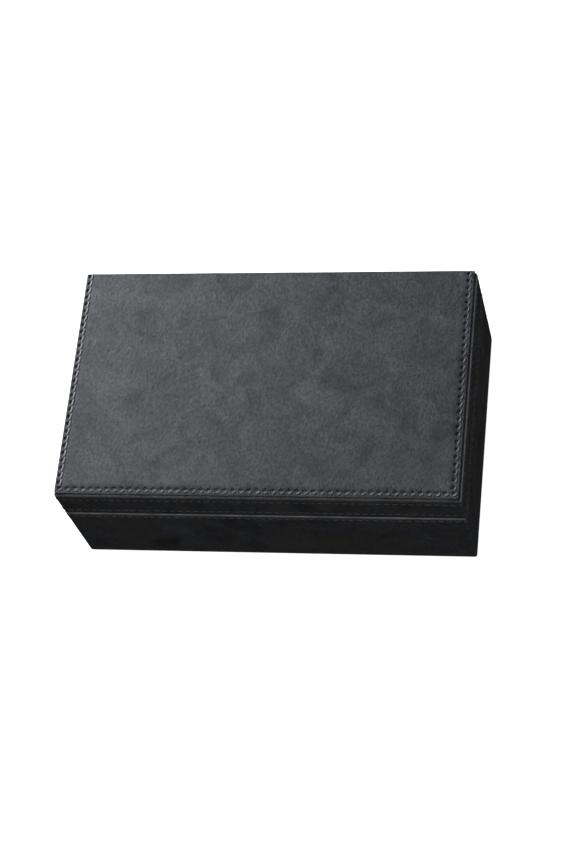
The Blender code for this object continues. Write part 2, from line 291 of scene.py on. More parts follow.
def side_leather():
    """The walls' leather, darker than the cover's partly as painted shade, with wide brownish patches, and
    pale painted highlights on the folds and corners that the mesh marks.
    """
    made, tree, shader = new_material("side_leather", Specular_IOR_Level=0.30)
    coords = node(tree, "TexCoord").outputs["Object"]
    # Painted shade, in part: the walls' tone, about half the cover's, is partly the leather's own and partly
    # painted shade for walls that face away from the lamps.
    colour, normal = leather_surface(
        tree, shader, coords, tone=0.025, blue=0.32, depth=0.00050, contrast=1.0, mottling=0.80,
    )
    paling = attribute(tree, "paling").outputs["Fac"]
    patches = noise(tree, coords, 26.0, 3.0, 0.6, 1.2)
    brown = (0.034, 0.030, 0.025, 1.0)
    colour = mix(tree, spread(tree, patches, 0.42, 0.60, 0.0, 0.8), colour, brown)
    highlight_mottle = spread(tree, noise(tree, coords, 90.0, 3.0, 0.6), 0.3, 0.7)
    painted_highlight = mix(tree, highlight_mottle, grey(0.22, 0.06), grey(0.42, 0.06))
    # Painted highlight: pale colour laid on the folds and corners that the mesh marks.
    colour = mix(tree, paling, colour, painted_highlight)
    tree.links.new(colour, shader.inputs["Base Color"])
    tree.links.new(normal, shader.inputs["Normal"])
    return made


def thread(name, tone):
    """Waxed twisted thread, painted paler as a highlight where it is thicker than the rest, which is the left
    row.
    """
    made, tree, shader = new_material(name, Specular_IOR_Level=0.5, Sheen_Weight=0.15)
    coords = node(tree, "TexCoord").outputs["Object"]
    fuzz = noise(tree, coords, 2600.0, 3.0, 0.6)
    paling = noise(tree, coords, 130.0, 2.0, 0.5)
    dull = mix(tree, spread(tree, paling, 0.35, 0.65), grey(tone * 0.75, 0.03), grey(tone * 1.2, 0.03))
    colour = mix(tree, spread(tree, fuzz, 0.35, 0.65, 0.0, 0.5), dull, grey(tone * 0.5, 0.03))
    # Painted highlight: threads thicker than the rest, the left row's, are made paler, as if lit more.
    pale = maths(tree, "MULTIPLY", attribute(tree, "thread_highlight").outputs["Fac"], 2.6)
    colour = mix(tree, pale, colour, grey(tone * 1.7, 0.10))
    tree.links.new(colour, shader.inputs["Base Color"])
    tree.links.new(spread(tree, fuzz, 0.3, 0.7, 0.36, 0.55), shader.inputs["Roughness"])
    tree.links.new(bump(tree, fuzz, 0.4, 0.0001), shader.inputs["Normal"])
    return made


def suede():
    """Short-napped lining, which is lighter where the nap is brushed."""
    made, tree, shader = new_material(
        "suede_lining", Specular_IOR_Level=0.15, Sheen_Weight=0.5, Sheen_Roughness=0.45,
    )
    coords = node(tree, "TexCoord").outputs["Object"]
    nap = noise(tree, coords, 1900.0, 3.0, 0.7)
    brushed = noise(tree, mapped(tree, coords, (1.0, 0.5, 1.0), 30.0), 38.0, 4.0, 0.6, 1.4)
    base = mix(tree, spread(tree, brushed, 0.36, 0.64), grey(0.050, 0.05), grey(0.085, 0.07))
    colour = mix(tree, spread(tree, nap, 0.35, 0.65, 0.0, 0.6), base, grey(0.030, 0.03))
    tree.links.new(colour, shader.inputs["Base Color"])
    tree.links.new(spread(tree, brushed, 0.3, 0.7, 0.97, 0.84), shader.inputs["Roughness"])
    tree.links.new(bump(tree, nap, 0.6, 0.0002), shader.inputs["Normal"])
    return made


def greyboard():
    """Pressed grey board, with fibres and flecks."""
    made, tree, shader = new_material("greyboard", Specular_IOR_Level=0.2)
    coords = node(tree, "TexCoord").outputs["Object"]
    fibres = noise(tree, mapped(tree, coords, (1.0, 0.2, 1.0), 15.0), 900.0, 4.0, 0.7, 1.0)
    flecks = cells(tree, coords, 520.0)
    base = mix(tree, spread(tree, fibres, 0.35, 0.65), (0.20, 0.17, 0.14, 1.0), (0.29, 0.26, 0.21, 1.0))
    colour = mix(tree, spread(tree, flecks, 0.08, 0.2, 0.5, 0.0), base, (0.10, 0.09, 0.08, 1.0))
    tree.links.new(colour, shader.inputs["Base Color"])
    tree.links.new(spread(tree, fibres, 0.3, 0.7, 0.95, 0.82), shader.inputs["Roughness"])
    tree.links.new(bump(tree, fibres, 0.4, 0.0002), shader.inputs["Normal"])
    return made


def plated_steel():
    """Nickel plating with fine marks from rubbing."""
    made, tree, shader = new_material("magnet_plating", Metallic=1.0)
    coords = node(tree, "TexCoord").outputs["Object"]
    marks = noise(tree, mapped(tree, coords, (0.06, 1.0, 1.0), 8.0), 2400.0, 3.0, 0.6)
    stain = noise(tree, coords, 160.0, 3.0, 0.6)
    colour = mix(tree, spread(tree, stain, 0.4, 0.7), (0.56, 0.55, 0.53, 1.0), (0.46, 0.45, 0.43, 1.0))
    tree.links.new(colour, shader.inputs["Base Color"])
    tree.links.new(spread(tree, marks, 0.3, 0.7, 0.20, 0.38), shader.inputs["Roughness"])
    tree.links.new(bump(tree, marks, 0.2, 0.00005), shader.inputs["Normal"])
    return made


def foam():
    """Open-celled foam."""
    made, tree, shader = new_material("foam", Specular_IOR_Level=0.2)
    coords = node(tree, "TexCoord").outputs["Object"]
    bubbles = cells(tree, coords, 1400.0)
    shade = noise(tree, coords, 60.0, 3.0, 0.6)
    base = mix(tree, spread(tree, shade, 0.35, 0.65), grey(0.26), grey(0.34, -0.03))
    colour = mix(tree, spread(tree, bubbles, 0.1, 0.5, 0.7, 0.0), base, grey(0.12))
    tree.links.new(colour, shader.inputs["Base Color"])
    tree.links.new(spread(tree, bubbles, 0.1, 0.6, 1.0, 0.85), shader.inputs["Roughness"])
    tree.links.new(bump(tree, bubbles, 0.6, 0.0003), shader.inputs["Normal"])
    return made


# ---------------------------------------------------------------- mesh helpers

def smoothstep(low, high, value):
    """0 up to low, 1 from high on, and a smooth rise between them."""
    t = np.clip((value - low) / (high - low), 0.0, 1.0)
    return t * t * (3 - 2 * t)


def bell(value, centre, width):
    """1 at the centre, falling to about a third one width away."""
    return np.exp(-(((value - centre) / width) ** 2))


def add_piece(name, points, faces, material, sharp_angle=60.0):
    """A smooth-shaded mesh piece from points in the frame. Edges that turn past sharp_angle stay sharp."""
    mesh = bpy.data.meshes.new(name)
    mesh.from_pydata([tuple(p) for p in np.asarray(points, float)], [], faces)
    mesh.shade_smooth()
    mesh.set_sharp_from_angle(angle=math.radians(sharp_angle))
    mesh.materials.append(material)
    obj = bpy.data.objects.new(name, mesh)
    bpy.context.scene.collection.objects.link(obj)
    return obj


def store(obj, name, values, kind="FLOAT"):
    """Keeps a value or a vector at each vertex, for the material to read."""
    made = obj.data.attributes.new(name, kind, "POINT")
    field = "vector" if kind == "FLOAT_VECTOR" else "value"
    made.data.foreach_set(field, np.ravel(values).astype(np.float32))


def arc_points(centre, radius, start, end, steps):
    """Points on an arc, with its angles in degrees."""
    angles = np.radians(np.linspace(start, end, steps + 1))
    return [(centre[0] + radius * math.cos(a), centre[1] + radius * math.sin(a)) for a in angles]


def along(points, step, closed=False):
    """Points on a polyline no further apart than step. Its own points are kept."""
    points = [np.array(p, float) for p in points]
    if closed:
        points.append(points[0])
    found = []
    for a, b in zip(points, points[1:]):
        count = max(1, math.ceil(np.linalg.norm(b - a) / step - 1e-6))
        found += [a + (b - a) * i / count for i in range(count)]
    return found if closed else found + [points[-1]]


def triangles(points):
    """Delaunay triangles over points in a plane."""
    return [
        list(face)
        for face in geometry.delaunay_2d_cdt([Vector(p) for p in points], [], [], 0, 1e-9)[2]
    ]


# ---------------------------------------------------------------- the cover panel

def cover_place(run):
    """(y, z) on the cover's outer face, and its outward normal, at a distance along the unrolled sheet."""
    turn = np.clip((run - TOP_RUN) / COVER_FOLD_R, 0.0, math.pi / 2)
    y = COVER_LOW.y + np.minimum(run, TOP_RUN) + COVER_FOLD_R * np.sin(turn)
    z = COVER_HIGH.z - COVER_FOLD_R * (1 - np.cos(turn)) - np.maximum(run - TOP_RUN - FOLD_RUN, 0.0)
    return y, z, np.sin(turn), np.cos(turn)


def on_cover(flat, height):
    """Points in space from unrolled points (x, run) and their heights over the cover's outer face."""
    flat = np.asarray(flat, float)
    y, z, normal_y, normal_z = cover_place(flat[:, 1])
    leftward = (COVER_HIGH.x - flat[:, 0]) / (COVER_HIGH.x - COVER_LOW.x)
    x = flat[:, 0] - COVER_SPLAY * leftward * np.clip(flat[:, 1] / TOP_RUN, 0.0, 1.0)
    return np.stack([x, y + normal_y * height, z + normal_z * height], axis=1)


def edge_distance(flat):
    """Distance from the cut edge on the left, front and right, soft in the corners."""
    soft = 0.0006
    sides = np.stack([flat[:, 0] - COVER_LOW.x, COVER_HIGH.x - flat[:, 0], flat[:, 1]])
    nearest = sides.min(axis=0)
    return nearest - soft * np.log(np.exp(-(sides - nearest) / soft).sum(axis=0))


def cover_height(flat):
    """The cover's relief: rounded cut edge, margin, sunken seam and padded middle."""
    flat = np.asarray(flat, float)
    x, run = flat[:, 0], flat[:, 1]
    inward = edge_distance(flat)
    slack = 1 - LEFT_FLATNESS * bell(x, COVER_LOW.x, FLATNESS_REACH)
    slack -= RIGHT_FLATNESS * bell(x, COVER_HIGH.x, FLATNESS_REACH)
    padded = smoothstep(SEWN_MARGIN + PADDING_START, SEWN_MARGIN + PADDING_END, inward)
    margin = -MARGIN_DROP * slack * (1 - padded)
    margin -= RIM_DROP * slack * (1 - smoothstep(0.0, RIM_WIDTH, inward))
    sunken = -SEAM_SINK * slack * bell(inward, SEWN_MARGIN, SEAM_WIDTH)
    rounded = -EDGE_ROUNDING * (1 - np.clip(inward / 0.0005, 0.0, 1.0)) ** 2
    end = -END_ROUNDING * (1 - np.clip((COVER_RUN - run) / 0.0006, 0.0, 1.0)) ** 2
    hinge = -HINGE_SINK * bell(run, HINGE_RUN, HINGE_WIDTH)
    tight = 1 - 0.75 * bell(run, TOP_RUN + FOLD_RUN / 2, 0.0045)
    return (margin + sunken) * tight + rounded + end + hinge + rolling(x, run, inward)


def rolling(x, run, inward):
    """Slow waves in the cover's middle, which fade out towards its edges."""
    uneven = np.sin(x * 71 + run * 23 + 0.7) * np.sin(run * 57 - x * 31 + 1.9)
    uneven += 0.6 * np.sin(x * 163 - run * 97) * np.sin(run * 141 + x * 59 + 0.4)
    return ROLLING * uneven * smoothstep(0.006, 0.02, inward)


def painted_rim_shade(flat):
    """0 to 1: painted shade on the rim and on the padding's slope inside the seam, which slope away from the
    lamps. It is strongest at the front and weakest at the left.
    """
    inward = edge_distance(flat)
    # The painted shade is weaker at the left and right sides, and weakest at the left, which faces the key
    # lamp.
    shade_share = 1 - 0.85 * bell(flat[:, 0], COVER_LOW.x, 0.006) - 0.75 * bell(flat[:, 0], COVER_HIGH.x, 0.006)
    slope_shade = 0.22 * (1 - smoothstep(SEWN_MARGIN + 0.0010, SEWN_MARGIN + 0.0045, inward))
    return shade_share * np.maximum(slope_shade, 0.85 * (1 - smoothstep(0.0022, 0.0034, inward)))


# Each row of the top seam: where its holes are, from the seam line, the way they are slit, how high and how
# thick its stitches are, and a stitch's path from its hole. The left row's threads are thicker, and their
# extra thickness also paints them paler as a highlight.
LEFT_ROW = {
    "hole": (-0.0009, 0.0), "slit": 75.0, "lift": 0.00020, "thick": 1.25,
    "path": [(0.0006, -0.0026), (0.0014, -0.0018), (0.0018, -0.0004), (0.0019, 0.0010), (0.0020, 0.0022)],
}
FRONT_ROW = {
    "hole": (0.0, 0.0009), "slit": 20.0, "lift": 0.00012, "thick": 1.0,
    "path": [(-0.0001, -0.0015), (0.0006, -0.0019), (0.0014, -0.0017), (0.0020, -0.0010), (0.0023, -0.0002)],
}
RIGHT_ROW = {
    "hole": (-0.0007, 0.0), "slit": 65.0, "lift": 0.00020, "thick": 1.0,
    "path": [(0.0004, -0.0023), (0.0011, -0.0018), (0.0015, -0.0010), (0.0017, -0.0001), (0.0018, 0.0006)],
}


def top_seam_holes():
    """(row, hole) for each stitch round the top and down the back of the lid, unrolled."""
    side_end = HINGE_RUN - HINGE_HALF - HINGE_CLEARANCE
    found = []
    for row, x in ((LEFT_ROW, SEWN_LEFT), (RIGHT_ROW, SEWN_RIGHT)):
        runs = np.arange(SEWN_MARGIN + FIRST_SIDE_STITCH, side_end, PITCH)
        found += [(row, (x, run)) for run in runs]
    xs = np.linspace(SEWN_LEFT, SEWN_RIGHT - FRONT_ROW_GAP, FRONT_STITCHES)
    found += [(FRONT_ROW, (x, SEWN_MARGIN)) for x in xs]
    return [(row, np.array(at) + row["hole"]) for row, at in found]


def rear_seam_holes(row, x):
    """(row, hole) for each stitch down one side of the base's back, unrolled."""
    runs = np.arange(HINGE_RUN + HINGE_HALF + REAR_ROW_CLEARANCE, COVER_RUN - REAR_ROW_CLEARANCE, PITCH)
    return [(row, np.array((x, run)) + row["hole"]) for run in runs]


def hole_depth(flat, holes):
    """0 to 1: how far each unrolled point is into a needle hole."""
    deep = np.zeros(len(flat))
    near = edge_distance(flat) < 2.2 * SEWN_MARGIN
    close = flat[near]
    found = np.zeros(len(close))
    for row, at in holes:
        turn = math.radians(row["slit"])
        offset = close - at
        long = offset[:, 0] * math.cos(turn) + offset[:, 1] * math.sin(turn)
        wide = -offset[:, 0] * math.sin(turn) + offset[:, 1] * math.cos(turn)
        found = np.maximum(found, np.exp(-((long / HOLE_HALF_LENGTH) ** 4) - (wide / HOLE_HALF_WIDTH) ** 4))
    deep[near] = found
    return deep


def cover_outline(step, end_step):
    """The cut edge of the unrolled cover, from the rear left, round the front, to the rear right and back."""
    r = COVER_CORNER_R
    left, right = COVER_LOW.x, COVER_HIGH.x
    sewn = [(left, COVER_RUN)]
    sewn += arc_points((left + r, r), r, 180, 270, 6)
    sewn += arc_points((right - r, r), r, 270, 360, 6)
    sewn.append((right, COVER_RUN))
    return along(sewn, step) + along([sewn[-1], sewn[0]], end_step)[1:-1]


def cover_rings(step):
    """Points in rings along the sewn edges, close together where the relief is steep."""
    depths = np.concatenate([
        np.linspace(0.00015, 0.0009, 4), np.linspace(0.0012, 0.0052, 15), np.linspace(0.0057, 0.0082, 5),
    ])
    found = []
    for depth in depths:
        r = max(COVER_CORNER_R - depth, 0.0004)
        left, right, end = COVER_LOW.x + depth, COVER_HIGH.x - depth, COVER_RUN - 0.0002
        ring = [(left, end)]
        ring += arc_points((left + r, depth + r), r, 180, 270, 4)
        ring += arc_points((right - r, depth + r), r, 270, 360, 4)
        ring.append((right, end))
        found += along(ring, step)
    return found


def cover_middle(inset, step, hinge_step):
    """A grid of points inside the rings, with extra rows where the cover bends."""
    xs = np.linspace(COVER_LOW.x + inset, COVER_HIGH.x - inset, round((COVER_HIGH.x - COVER_LOW.x) / step))
    fold = np.linspace(TOP_RUN - 0.0004, TOP_RUN + FOLD_RUN + 0.0004, 12)
    hinge = np.arange(HINGE_RUN - 0.006, HINGE_RUN + 0.006, hinge_step)
    end = COVER_RUN - np.array([0.0006, 0.0004, 0.0002])
    plain = np.arange(inset, COVER_RUN - step / 2, step)
    bent = np.concatenate([fold, hinge])
    plain = [run for run in plain if np.abs(bent - run).min() > hinge_step]
    return [(x, run) for run in np.concatenate([plain, bent, end]) for x in xs]


def build_cover(material, holes):
    """The cover: a relief outer face, a rounded cut edge all round, and a plain inner face."""
    outline = cover_outline(SEWN_STEP, END_STEP)
    outer = np.array(outline + cover_rings(SEWN_STEP) + cover_middle(MIDDLE_INSET, MIDDLE_STEP, BEND_STEP))
    count = len(outline)
    deep = hole_depth(outer, holes)
    height = cover_height(outer) - HOLE_DEPTH * deep
    points = [on_cover(outer, height)]
    faces = triangles(outer)

    middle = np.array([(COVER_LOW.x + COVER_HIGH.x) / 2, COVER_RUN / 2])
    half = np.array([(COVER_HIGH.x - COVER_LOW.x) / 2, COVER_RUN / 2])
    edge_heights = ((-0.00112, 0.00006), (-0.00122, 0.00004), (-COVER_THICK, -0.00010))
    base = len(outer)
    last = 0
    for lower, outward in edge_heights:
        ring = np.array(outline) + outward * (np.array(outline) - middle) / half
        points.append(on_cover(ring, np.full(count, lower)))
        faces += [[last + i, base + i, base + (i + 1) % count, last + (i + 1) % count] for i in range(count)]
        last, base = base, base + count

    inner = np.array(cover_middle(BACK_INSET, BACK_STEP, BEND_STEP))
    back = np.concatenate([np.array(outline), inner])
    points.append(on_cover(inner, np.full(len(inner), -COVER_THICK)))
    faces += [[last + i for i in reversed(face)] for face in triangles(back)]

    points = np.concatenate(points)
    flat = np.concatenate([outer] + [np.array(outline)] * len(edge_heights) + [inner])
    cover = add_piece("cover_panel", points, faces, material)
    store(cover, "flat", np.column_stack([flat, np.zeros(len(flat))]), "FLOAT_VECTOR")
    store(cover, "hole", np.concatenate([deep, np.zeros(len(flat) - len(outer))]))
    store(cover, "edge", (np.arange(len(flat)) >= len(outer)).astype(float))
    store(cover, "rim_shade", painted_rim_shade(flat))
    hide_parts("lid_cover", "hinge_leather", "base_rear_cover")
    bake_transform(cover)


# ---------------------------------------------------------------- stitches

def smooth_path(points, steps):
    """Points on a Catmull-Rom curve through the given ones."""
    points = np.asarray(points, float)
    padded = np.vstack([2 * points[0] - points[1], points, 2 * points[-1] - points[-2]])
    found = []
    for i in range(len(points) - 1):
        p0, p1, p2, p3 = padded[i:i + 4]
        for t in np.arange(steps) / steps:
            found.append(
                0.5 * (2 * p1 + (p2 - p0) * t + (2 * p0 - 5 * p1 + 4 * p2 - p3) * t ** 2
                       + (3 * p1 - p0 - 3 * p2 + p3) * t ** 3)
            )
    return np.array(found + [points[-1]])


def twisted_tube(path, radius, sides, up):
    """Rings of a three-ply thread along a path, and its faces, closed at both ends."""
    tangents = np.gradient(path, axis=0)
    tangents /= np.linalg.norm(tangents, axis=1)[:, None]
    across = np.cross(tangents, up)
    across /= np.linalg.norm(across, axis=1)[:, None]
    over = np.cross(across, tangents)
    run = np.concatenate([[0], np.cumsum(np.linalg.norm(np.diff(path, axis=0), axis=1))])
    angles = np.arange(sides) * 2 * math.pi / sides
    plies = 1 + 0.07 * np.cos(3 * angles[None, :] - run[:, None] / radius * 1.4)
    size = radius * plies[:, :, None]
    rings = path[:, None] + size * (
        across[:, None] * np.cos(angles)[None, :, None] + over[:, None] * np.sin(angles)[None, :, None]
    )
    count = len(path)
    faces = [
        [i * sides + j, i * sides + (j + 1) % sides, (i + 1) * sides + (j + 1) % sides, (i + 1) * sides + j]
        for i in range(count - 1) for j in range(sides)
    ]
    faces.append(list(range(sides))[::-1])
    faces.append([(count - 1) * sides + j for j in range(sides)])
    return rings.reshape(-1, 3), faces


def stitching(name, threads, radius, sides, material, body, *replaced):
    """One piece of many stitches.

    threads holds each one's path, the surface's normal there, and its thickness as a multiple of the radius,
    of which any excess over 1 is painted as a highlight.
    """
    points, faces, thread_highlight, base = [], [], [], 0
    for path, up, thick in threads:
        ring_points, ring_faces = twisted_tube(path, radius * thick, sides, up)
        points.append(ring_points)
        faces += [[base + i for i in face] for face in ring_faces]
        thread_highlight.append(np.full(len(ring_points), thick - 1))
        base += len(ring_points)
    made = add_piece(name, np.concatenate(points), faces, material, 80.0)
    store(made, "thread_highlight", np.concatenate(thread_highlight))
    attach(made, body)
    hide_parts(*replaced)
    return made


def cover_stitch(row, hole):
    """One slanting stitch beside its needle hole, with both ends down in the leather."""
    wobble = RANDOM.normal(0.0, STITCH_WOBBLE, 2)
    flat = smooth_path(np.array(row["path"]) + hole + wobble, 3)
    share = np.linspace(-1, 1, len(flat))
    surface = cover_height(flat)
    ends = np.where(share < 0, 0.0009, 0.0011) * np.abs(share) ** 6
    lift = surface + row["lift"] + THREAD_R * (0.7 + 0.3 * share) - ends
    path = on_cover(flat, lift)
    normal = on_cover(flat[:1], np.ones(1))[0] - on_cover(flat[:1], np.zeros(1))[0]
    return path, normal, row["thick"]


# ---------------------------------------------------------------- the wraps

class Wall:
    """The outline of a wrap seen from above: points, outward normals and distance run along it."""

    def __init__(self, low, high, fine, coarse):
        r = WRAP_CORNER_R
        path = [((high.x + low.x) / 2, high.y)]
        path += arc_points((low.x + r, high.y - r), r, 90, 180, 8)
        path += arc_points((low.x + r, low.y + r), r, 180, 270, 8)
        path += arc_points((high.x - r, low.y + r), r, 270, 360, 8)
        path += arc_points((high.x - r, high.y - r), r, 0, 90, 8)
        full = along(path, fine, closed=True)
        rear = [abs(p[1] - high.y) < 1e-9 for p in full]
        keep = [i for i in range(len(full)) if not rear[i] or i % round(coarse / fine) == 0]
        self.points = np.array([full[i] for i in keep])
        self.centre = np.array([(low.x + high.x) / 2, (low.y + high.y) / 2])
        half = np.array([high.x - low.x, high.y - low.y]) / 2 - r
        out = self.points - self.centre
        outward = np.sign(out) * np.maximum(np.abs(out) - half, 0)
        self.normals = outward / np.linalg.norm(outward, axis=1)[:, None]
        turned = np.minimum(np.abs(self.normals[:, 0]), np.abs(self.normals[:, 1]))
        self.corner = np.clip(turned / 0.7, 0, 1)
        gaps = np.linalg.norm(np.diff(self.points, axis=0), axis=1)
        self.run = np.concatenate([[0], np.cumsum(gaps)])
        sewn = self.points[:, 1] < high.y - WRAP_CORNER_R - 0.0002
        self.seam_start = self.run[sewn].min()
        self.seam_end = self.run[sewn].max()
        self.seamed = (self.run > self.seam_start) & (self.run < self.seam_end)
        nearest = np.abs(self.run[:, None] - self.stitch_runs()[None, :]).min(axis=1)
        self.end_dips = bell(nearest, PITCH / 2 - 0.0009, 0.0006) * self.seamed
        self.bevel = self.near_corner(low, high)
        self.pleats = np.cos(self.corner * math.pi * 3) * self.bevel

    def near_corner(self, low, high):
        """1 at the four corners, falling to 0 a little way along each side."""
        near = np.zeros(len(self.points))
        for x in (low.x, high.x):
            for y in (low.y, high.y):
                away = np.linalg.norm(self.points - (x, y), axis=1)
                near = np.maximum(near, 1 - smoothstep(0.0015, 0.0075, away))
        return near

    def at(self, run):
        """Point and outward normal at a distance along the outline."""
        point = np.array([np.interp(run, self.run, self.points[:, k]) for k in range(2)])
        normal = np.array([np.interp(run, self.run, self.normals[:, k]) for k in range(2)])
        return point, normal / np.linalg.norm(normal)

    def stitch_runs(self):
        """The middles of the stitches along the seamed stretch."""
        count = round((self.seam_end - self.seam_start) / PITCH)
        step = (self.seam_end - self.seam_start) / count
        return self.seam_start + step * (np.arange(count) + 0.5)


def wrap_profile(low_z, high_z, low_flange, high_flange, seams):
    """Rows down the outside of a wrap, from its top flange to its bottom flange: inset and height."""
    fold = WRAP_FOLD_R
    low_fold = BOTTOM_FOLD_R if low_z < SEAM_Z else RIM_FOLD_R
    turns = np.radians(np.linspace(0, 90, 7))
    rows = [(inset, high_z) for inset in np.linspace(high_flange, fold + 0.0003, 7)]
    rows += [(fold - fold * math.sin(a), high_z - fold + fold * math.cos(a)) for a in turns]
    plain = np.linspace(high_z - fold, low_z + low_fold, round((high_z - low_z) / 0.004))[1:-1]
    plain = [*plain, *(low_z + low_fold + np.array([0.0002, 0.0005, 0.0008, 0.0011]))]
    seam_rows = np.concatenate([[z + offset for offset in np.linspace(-0.0010, 0.0010, 9)] for z in seams])
    plain = [z for z in plain if np.abs(seam_rows - z).min() > 0.0004]
    rows += [(0.0, z) for z in sorted([*plain, *seam_rows], reverse=True)]
    rows += [(low_fold * (1 - math.cos(a)), low_z + low_fold * (1 - math.sin(a))) for a in turns]
    rows += [(inset, low_z) for inset in np.linspace(low_fold + 0.0003, low_flange, 5)]
    return rows


def flare(z, low_z, high_z):
    """How far a wall stands out at a height: the base's rim is a little proud of the lid's."""
    if low_z < SEAM_Z:
        return RIM_FLARE * float(smoothstep(high_z - RIM_FLARE_REACH, high_z - WRAP_FOLD_R, z))
    return -RIM_TUCK * (1 - float(smoothstep(low_z + WRAP_FOLD_R, low_z + RIM_FLARE_REACH, z)))


def fold_highlight_at(inset, z, low_z, high_z):
    """0 to 1: painted highlight along a fold, a pale line where the lamps would catch the leather stretched
    over it.
    """
    base = low_z < SEAM_Z
    rim_line = math.hypot((inset - 0.00015) / 0.00045, (z - high_z + 0.00025) / 0.00060)
    foot_line = (z - low_z - BOTTOM_FOLD_R - 0.0005) / 0.00035
    rim = (BASE_RIM_HIGHLIGHT if base else LID_RIM_HIGHLIGHT) * math.exp(-(rim_line ** 2))
    foot = (FOOT_HIGHLIGHT if base else 0.0) * math.exp(-(foot_line ** 2))
    return max(rim, foot)


def highlight_row(wall, inset, z, low_z, high_z, right_highlight):
    """Painted highlight at each point of a row, on the folds and a little on the upright corners."""
    on_right = np.clip(wall.normals[:, 0], 0.0, 1.0)
    painted_highlight = fold_highlight_at(inset, z, low_z, high_z) * (1 + right_highlight * on_right)
    return np.clip(np.maximum(painted_highlight, CORNER_HIGHLIGHT * wall.corner), 0.0, 1.0)


def wrap_row(wall, inset, z, low_z, high_z, seams):
    """The points of one row on a wrap's outside, sunk along its seams and pleated at its folded corners."""
    near = max((math.exp(-(((z - seam) / 0.00045) ** 2)) for seam in seams), default=0.0)
    sink = near * (WALL_SEAM_SINK * wall.seamed + STITCH_END_DIP * wall.end_dips) - flare(z, low_z, high_z)
    outline = inset_outline(wall.points - wall.normals * sink[:, None], wall, inset)
    share = min(inset / WRAP_FOLD_R, 1.0)
    drop = 0.00015 * wall.bevel * share * (1 - 0.6 * smoothstep(0.002, 0.005, inset))
    drop -= 0.00008 * wall.pleats * share
    heights = z - drop if z > high_z - WRAP_FOLD_R else z + drop * 0.5
    return np.column_stack([outline, heights])


def wrap_inside(low_z, high_z, low_flange, high_flange):
    """Rows up the inside of a wrap, from its bottom flange to its top flange: inset and height."""
    bend = WRAP_THICK + 0.0004
    return [
        (low_flange, low_z + WRAP_THICK), (bend, low_z + WRAP_THICK),
        (WRAP_THICK, low_z + bend), (WRAP_THICK, high_z - bend),
        (bend, high_z - WRAP_THICK), (high_flange, high_z - WRAP_THICK),
    ]


def build_wrap(name, low, high, low_flange, high_flange, seams, right_highlight, material, body, replaced):
    """A leather skin folded round four walls, with flanges at its top and bottom."""
    wall = Wall(low, high, WALL_STEP, REAR_WALL_STEP)
    columns = len(wall.points)
    points, paling = [], []
    for inset, z in wrap_profile(low.z, high.z, low_flange, high_flange, seams):
        points.append(wrap_row(wall, inset, z, low.z, high.z, seams))
        paling.append(highlight_row(wall, inset, z, low.z, high.z, right_highlight))
    for inset, z in wrap_inside(low.z, high.z, low_flange, high_flange):
        points.append(np.column_stack([inset_outline(wall.points, wall, inset), np.full(columns, z)]))
        paling.append(np.zeros(columns))
    loops = len(points)
    faces = [
        [i * columns + j, ((i + 1) % loops) * columns + j,
         ((i + 1) % loops) * columns + (j + 1) % columns, i * columns + (j + 1) % columns]
        for i in range(loops) for j in range(columns)
    ]
    made = add_piece(name, np.concatenate(points), faces, material)
    store(made, "paling", np.concatenate(paling))
    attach(made, body)
    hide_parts(replaced)
    return wall


def inset_outline(points, wall, inset):
    """An outline moved in by inset, with its corner arcs shrinking to points and no further."""
    r = WRAP_CORNER_R
    if inset <= r:
        return points - wall.normals * inset
    at_centre = points - wall.normals * r
    square = np.sign(wall.normals) * (np.abs(wall.normals) > 1e-6)
    return at_centre - square * (inset - r)


def wall_stitch(wall, run, z):
    """One straight stitch along a wall seam."""
    offsets = np.array([-0.00195, -0.0017, -0.0009, 0.0, 0.0009, 0.0017, 0.00195])
    lifts = np.array([-0.0006, -0.00005, 0.00012, 0.00016, 0.00012, -0.00005, -0.0006])
    found = []
    for offset, lift in zip(offsets, lifts):
        point, normal = wall.at(run + offset)
        found.append([*(point + normal * lift), z])
    return np.array(found), np.array([*wall.at(run)[1], 0.0]), 1.0


def wall_seam(name, wall, z, material, body, replaced):
    """One row of stitches round a wall."""
    threads = [wall_stitch(wall, run, z + RANDOM.normal(0, WALL_STITCH_WOBBLE)) for run in wall.stitch_runs()]
    return stitching(name, threads, WALL_THREAD_R, 8, material, body, replaced)


# ---------------------------------------------------------------- sheets, pads and carried-over nodes

def rounded_slab(name, low, high, corner_r, edge_r, material, body, replaced):
    """A flat sheet with rounded corners and edges."""
    bm = bmesh.new()
    bmesh.ops.create_cube(bm, size=1.0)
    size = high - low
    bmesh.ops.scale(bm, vec=size, verts=bm.verts)
    upright = [e for e in bm.edges if abs(e.verts[0].co.z - e.verts[1].co.z) > size.z / 2]
    bmesh.ops.bevel(bm, geom=upright, offset=corner_r, segments=8, profile=0.5, affect="EDGES")
    level = [e for e in bm.edges if abs(e.verts[0].co.z - e.verts[1].co.z) < 1e-7 and len(e.link_faces) == 2]
    level = [e for e in level if abs(e.calc_face_angle(0.0)) > 0.5]
    bmesh.ops.bevel(bm, geom=level, offset=edge_r, segments=3, profile=0.5, affect="EDGES")
    bmesh.ops.translate(bm, vec=(low + high) / 2, verts=bm.verts)
    bmesh.ops.triangulate(bm, faces=[f for f in bm.faces if len(f.verts) > 4])
    mesh = bpy.data.meshes.new(name)
    bm.to_mesh(mesh)
    bm.free()
    mesh.shade_smooth()
    mesh.set_sharp_from_angle(angle=math.radians(60))
    mesh.materials.append(material)
    made = bpy.data.objects.new(name, mesh)
    bpy.context.scene.collection.objects.link(made)
    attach(made, body)
    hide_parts(replaced)
    return made


def finish_cad_nodes(finishes):
    """Gives each CAD node that still shows the material of its slot."""
    for row in frame["record"]["subparts"]:
        obj = frame["nodes"][row["node"]]
        made = finishes.get(row["material_slot"])
        if made is not None and not obj.hide_render:
            for slot in obj.material_slots:
                slot.material = made


